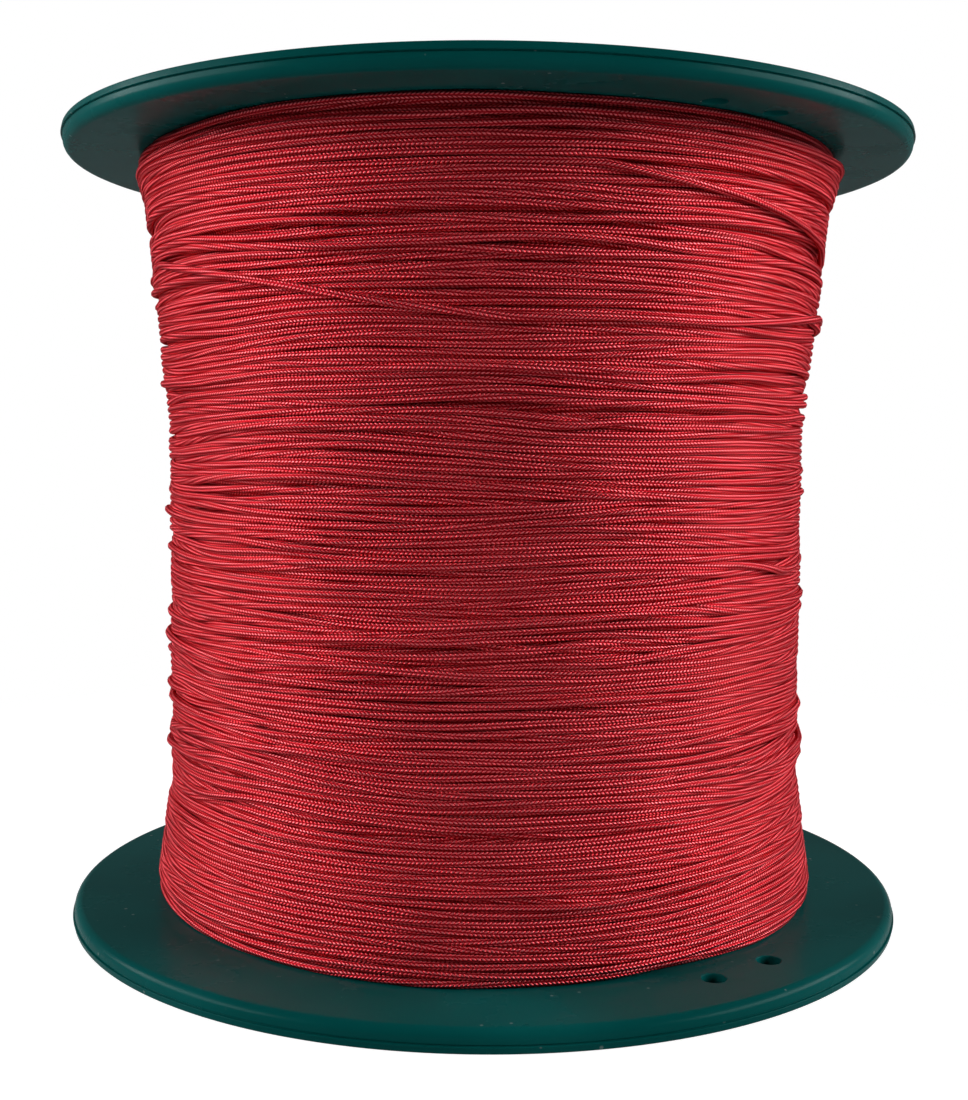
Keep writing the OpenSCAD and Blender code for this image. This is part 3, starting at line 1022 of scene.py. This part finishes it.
def stopper_knot(w):
    """Route of the first end: in through the barrel, then back round itself in a stopper knot."""
    low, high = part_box("string_start")
    middle = Vector(((low.x + high.x) / 2, 0, (low.z + high.z) / 2))
    string_r = w.diameter / 2
    inner = low.y + string_r
    stops = [(0, high.y, 0), (0, (inner + high.y) / 2, 0), (0, inner + string_r, 0), (string_r, inner, 0)]
    for k in range(w.knot_turns * KNOT_STEPS + 1):
        turns = k / KNOT_STEPS
        a = 2 * math.pi * turns
        y = inner + w.diameter * (KNOT_GAP + KNOT_PITCH * turns)
        stops.append((w.diameter * math.cos(a), y, w.diameter * math.sin(a)))
    return [middle + Vector(stop) for stop in stops]


def flowing(points, steps=6):
    """Points of a smooth curve through the given ones."""
    ends = [points[0] * 2 - points[1], *points, points[-1] * 2 - points[-2]]
    curve = []
    for a, b, c, d in zip(ends, ends[1:], ends[2:], ends[3:]):
        for k in range(steps):
            t = k / steps
            slope = (c - a) * t
            bend = (2 * a - 5 * b + 4 * c - d) * t**2
            twist = (3 * b - a - 3 * c + d) * t**3
            curve.append(0.5 * (2 * b + slope + bend + twist))
    return [*curve, points[-1]]


def string_tree():
    """Geometry nodes that turn a path of edges into braided string."""
    tree = bpy.data.node_groups.new("String tube", "GeometryNodeTree")
    face = tree.interface
    face.new_socket("Geometry", in_out="INPUT", socket_type="NodeSocketGeometry")
    radius = face.new_socket("Radius", in_out="INPUT", socket_type="NodeSocketFloat")
    sides = face.new_socket("Sides", in_out="INPUT", socket_type="NodeSocketInt")
    material = face.new_socket("Material", in_out="INPUT", socket_type="NodeSocketMaterial")
    face.new_socket("Geometry", in_out="OUTPUT", socket_type="NodeSocketGeometry")

    def node(kind, **settings):
        made = tree.nodes.new(kind)
        for key, value in settings.items():
            setattr(made, key, value)
        return made

    given, result = node("NodeGroupInput"), node("NodeGroupOutput")
    curve = node("GeometryNodeMeshToCurve")
    spline = node("GeometryNodeSplineParameter")
    along = node("GeometryNodeStoreNamedAttribute", data_type="FLOAT", domain="POINT")
    along.inputs["Name"].default_value = "along"
    ring = node("GeometryNodeCurvePrimitiveCircle")
    position = node("GeometryNodeInputPosition")
    direction = node("ShaderNodeVectorMath", operation="NORMALIZE")
    around = node("GeometryNodeStoreNamedAttribute", data_type="FLOAT_VECTOR", domain="POINT")
    around.inputs["Name"].default_value = "around"
    tube = node("GeometryNodeCurveToMesh")
    tube.inputs["Fill Caps"].default_value = True
    smooth = node("GeometryNodeSetShadeSmooth")
    realize = node("GeometryNodeRealizeInstances")
    finish = node("GeometryNodeSetMaterial")
    for source, output, target, entry in (
        (given, "Geometry", curve, "Mesh"),
        (curve, "Curve", along, "Geometry"),
        (spline, "Length", along, "Value"),
        (given, "Sides", ring, "Resolution"),
        (given, "Radius", ring, "Radius"),
        (ring, "Curve", around, "Geometry"),
        (position, 0, direction, 0),
        (direction, 0, around, "Value"),
        (along, "Geometry", tube, "Curve"),
        (around, "Geometry", tube, "Profile Curve"),
        (tube, "Mesh", smooth, "Geometry"),
        (smooth, "Geometry", realize, "Geometry"),
        (realize, "Geometry", finish, "Geometry"),
        (given, "Material", finish, "Material"),
        (finish, "Geometry", result, "Geometry"),
    ):
        tree.links.new(source.outputs[output], target.inputs[entry])
    return tree, radius.identifier, sides.identifier, material.identifier


def string_piece(name, points, radius, sides, material, tree):
    """A plain mesh of string along the points."""
    group, radius_key, sides_key, material_key = tree
    mesh = bpy.data.meshes.new(name)
    mesh.from_pydata([tuple(p) for p in points], [(i, i + 1) for i in range(len(points) - 1)], [])
    obj = link(bpy.data.objects.new(name, mesh))
    modifier = obj.modifiers.new("string", "NODES")
    modifier.node_group = group
    modifier[radius_key] = radius
    modifier[sides_key] = sides
    modifier[material_key] = material
    return bake(obj)


class REEL_OT_winding(bpy.types.Operator):
    """Wind the string on the barrel and tie off its end"""

    bl_idname = "reel.winding"
    bl_label = "Winding"

    def execute(self, context):
        w = context.scene.reel_string
        f = context.scene.reel_flange
        string_r = w.diameter / 2
        material = braided_string(w)
        tree = string_tree()
        tie_r, half_angle = tie_circle(f)
        hole_angle = f.tie_upper + math.pi - half_angle
        end_r = wound_radius(REEL_H - FLANGE_T, w) - string_r
        winding = Winding(w, hole_angle - math.acos(end_r / tie_r))
        for depth in range(w.shown_layers):
            points = winding.points(depth)
            if depth == 0:
                points += flowing([points[-1], *tied_end(f, w)])[1:]
            piece = string_piece(f"string_layer_{depth + 1}", points, string_r, w.sides, material, tree)
            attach(piece, BODY)
            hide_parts("outer_turns" if depth == 0 else "string_pack")
        knot = flowing(stopper_knot(w))
        start = string_piece("stopper_knot", knot, string_r, w.sides, material, tree)
        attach(start, BODY)
        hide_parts("string_start")
        inner = self.inner_layers(w, material)
        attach(inner, BODY)
        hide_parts("string_pack")
        return {"FINISHED"}

    def inner_layers(self, w, material):
        """Body of the layers below the drawn ones."""
        depth = (w.shown_layers + CORE_SINK) * LAYER_PITCH * w.diameter
        inside = BARREL_R + BARREL_GAP
        bends = bend_heights(w)
        outline = [Vector((inside, bends[0]))]
        outline += [Vector((wound_radius(z, w) - depth, z)) for z in bends]
        outline.append(Vector((inside, bends[-1])))
        made = lathe("string_inner_layers", outline, segments=128)
        made.data.shade_smooth()
        made.data.set_sharp_from_angle(angle=math.radians(40))
        made.data.materials.append(material)
        return made


# ---------------------------------------------------------------- studio


class StageSettings(bpy.types.PropertyGroup):
    """Camera and light of the studio."""

    distance: length("Camera distance", "From the reel's axis to the camera", 250.16 * MM)
    height: length("Camera height", "Height of the camera above the floor", 79.3 * MM)
    pan: angle("Pan", "Turn of the camera to the right", -0.054)
    tilt: angle("Tilt", "Tilt of the camera, up positive", -4.402)
    roll: angle("Roll", "Roll of the camera, clockwise positive", 0.347)
    lens: number("Lens", "Focal length in millimetres", 47.148)
    light_angle: angle("Light direction", "Direction of the side lights, from the camera's side", 83)
    light_distance: length("Light distance", "From the reel's axis to a side light", 1200 * MM, high=10.0)
    light_z: length("Light level", "Height of a side light's middle above the floor", 480 * MM)
    light_w: length("Light width", "Width of a side light", 1200 * MM, high=10.0)
    light_h: length("Light height", "Height of a side light", 460 * MM)
    side_light: number("Side light", "Power of each side light in watts", 16.0)
    fill: number("Fill", "Strength of the room's own light at its sides and back", 0.12)
    front_fill: number("Front fill", "Share of that light that comes from the camera's side", 0.0)
    mirrored_floor: number("Mirrored floor", "Share of the white floor's brightness that gloss mirrors", 0.2)
    mirrored_room: number("Mirrored room", "Share of the white room's brightness that gloss mirrors", 0.14)
    floor_reach: length("Floor reach", "From the reel's axis to the floor's edges", 3.0, high=10.0)
    backdrop_y: length("Backdrop distance", "From the reel's axis back to the backdrop", 1.2, high=10.0)
    floor_tone: number("Floor tone", "Colour of the floor in the light that it gives back", 0.65)
    floor_level: number("Floor level", "How bright the floor is where the reel doesn't shade it", 0.24)
    shadow: number("Shadow", "Share of the floor's own shade that shows beside the reel", 0.7)
    shadow_reach: length("Shadow reach", "From the reel's axis to where the floor is plain white", 230 * MM)


def add_camera(stage):
    look = Vector((math.sin(stage.pan), math.cos(stage.pan), 0))
    right = Vector((math.cos(stage.pan), -math.sin(stage.pan), 0))
    forward = look * math.cos(stage.tilt) + Vector((0, 0, 1)) * math.sin(stage.tilt)
    up = right.cross(forward)
    side = right * math.cos(stage.roll) + up * math.sin(stage.roll)
    top = up * math.cos(stage.roll) - right * math.sin(stage.roll)
    data = bpy.data.cameras.new("camera")
    data.lens = stage.lens
    data.sensor_width = 36.0
    data.clip_start = 0.01
    camera = link(bpy.data.objects.new("camera", data))
    turned = Matrix((side, top, -forward)).transposed()
    camera.matrix_world = Matrix.Translation((0, -stage.distance, stage.height)) @ turned.to_4x4()
    bpy.context.scene.camera = camera


def add_light(name, place, target, width, height, power):
    data = bpy.data.lights.new(name, "AREA")
    data.shape = "RECTANGLE"
    data.size, data.size_y = width, height
    data.energy = power
    lamp = link(bpy.data.objects.new(name, data))
    lamp.location = place
    lamp.rotation_euler = (Vector(target) - Vector(place)).to_track_quat("-Z", "Y").to_euler()


WHITE = (1.0, 1.0, 1.0)


def background_rays(s, mirrored):
    """Rays that see the white background, and how bright it is to them: in full to the camera's own, and a
    share as bright to mirrored and clear ones."""
    rays = s.outputs("ShaderNodeLightPath")
    camera = rays["Is Camera Ray"]
    bounced = rays["Is Glossy Ray"].at_least(rays["Is Transmission Ray"])
    return camera.at_least(bounced), camera.at_least(bounced * mirrored)


def studio_white(name, stage, shadow, mirrored):
    """Matt white that shows as plain white, but for the reel's shadow close to it."""
    s = material_shader(name)
    place = s.place()
    x, y, _ = s.split(place)
    near = (x * x + y * y).root().ramp(FLANGE_R, stage.shadow_reach, shadow, 0.0)
    speck = s.noise(place, 40.0, detail=2.0)
    grey = (stage.floor_tone,) * 3
    shade = s.mix(speck, toned(grey, 0.97), toned(grey, 1.03))
    matt = s.add("ShaderNodeBsdfDiffuse", {}, {"Color": shade})
    sees, level = background_rays(s, mirrored)
    white = (1.0 - near * stage.floor_level) / (1.0 - near) * level
    glow = s.add("ShaderNodeEmission", {}, {"Color": WHITE, "Strength": white})
    return s.show(s.add("ShaderNodeMixShader", {}, {0: sees * (1.0 - near), 1: matt, 2: glow}))


def add_room(stage):
    """The room round the studio: dim, but white wherever the background shows."""
    world = bpy.data.worlds.new("room")
    bpy.context.scene.world = world
    s = Shader(world, "ShaderNodeOutputWorld")
    _, backwards, _ = s.split(s.add("ShaderNodeTexCoord", out="Generated"))
    fill = backwards.ramp(-0.8, 0.1, to_low=stage.fill * stage.front_fill, to_high=stage.fill)
    room = s.add("ShaderNodeBackground", {}, {"Color": WHITE, "Strength": fill})
    sees, level = background_rays(s, stage.mirrored_room)
    white = s.add("ShaderNodeBackground", {}, {"Color": WHITE, "Strength": level})
    s.show(s.add("ShaderNodeMixShader", {}, {0: sees, 1: room, 2: white}))


class REEL_OT_stage(bpy.types.Operator):
    """Set up the studio: floor, backdrop, lights and camera"""

    bl_idname = "reel.stage"
    bl_label = "Studio"

    def execute(self, context):
        stage = context.scene.reel_stage
        add_camera(stage)
        far, back = stage.floor_reach, stage.backdrop_y
        floor = mesh_object(
            "floor",
            [(-far, -far, 0), (far, -far, 0), (far, far, 0), (-far, far, 0)],
            [(0, 1, 2, 3)],
            studio_white("floor", stage, stage.shadow, stage.mirrored_floor),
        )
        backdrop = mesh_object(
            "backdrop",
            [(-far, back, 0), (far, back, 0), (far, back, far), (-far, back, far)],
            [(0, 1, 2, 3)],
            studio_white("backdrop", stage, 0.0, stage.mirrored_room),
        )
        aim = (0, 0, REEL_H / 2)
        for side, name in ((-1, "left_light"), (1, "right_light")):
            across = side * stage.light_distance * math.sin(stage.light_angle)
            ahead = -stage.light_distance * math.cos(stage.light_angle)
            place = (across, ahead, stage.light_z)
            add_light(name, place, aim, stage.light_w, stage.light_h, stage.side_light)
        add_room(stage)
        context.scene.view_settings.view_transform = "Standard"
        return {"FINISHED"}


class REEL_PT_panel(bpy.types.Panel):
    """Sizes, colours and steps of the string reel"""

    bl_idname = "REEL_PT_panel"
    bl_label = "String reel"
    bl_space_type = "VIEW_3D"
    bl_region_type = "UI"
    bl_category = "String reel"

    def draw(self, context):
        for group in SETTINGS:
            settings = getattr(context.scene, group)
            column = self.layout.column()
            for key in settings.__annotations__:
                column.prop(settings, key)
        for operator in OPERATORS:
            self.layout.operator(operator.bl_idname)


OPERATORS = (REEL_OT_stage, REEL_OT_flanges, REEL_OT_core, REEL_OT_labels, REEL_OT_winding)
SETTINGS = {
    "reel_flange": FlangeSettings,
    "reel_label": LabelSettings,
    "reel_string": StringSettings,
    "reel_stage": StageSettings,
}


def register():
    for cls in (*SETTINGS.values(), *OPERATORS, REEL_PT_panel):
        bpy.utils.register_class(cls)
    for group, cls in SETTINGS.items():
        setattr(bpy.types.Scene, group, bpy.props.PointerProperty(type=cls))


def unregister():
    for group in SETTINGS:
        delattr(bpy.types.Scene, group)
    for cls in (REEL_PT_panel, *reversed(OPERATORS), *SETTINGS.values()):
        bpy.utils.unregister_class(cls)


def main():
    register()
    bpy.ops.reel.stage()
    bpy.ops.reel.flanges()
    bpy.ops.reel.core()
    bpy.ops.reel.labels()
    bpy.ops.reel.winding()


if __name__ == "__main__":
    main()
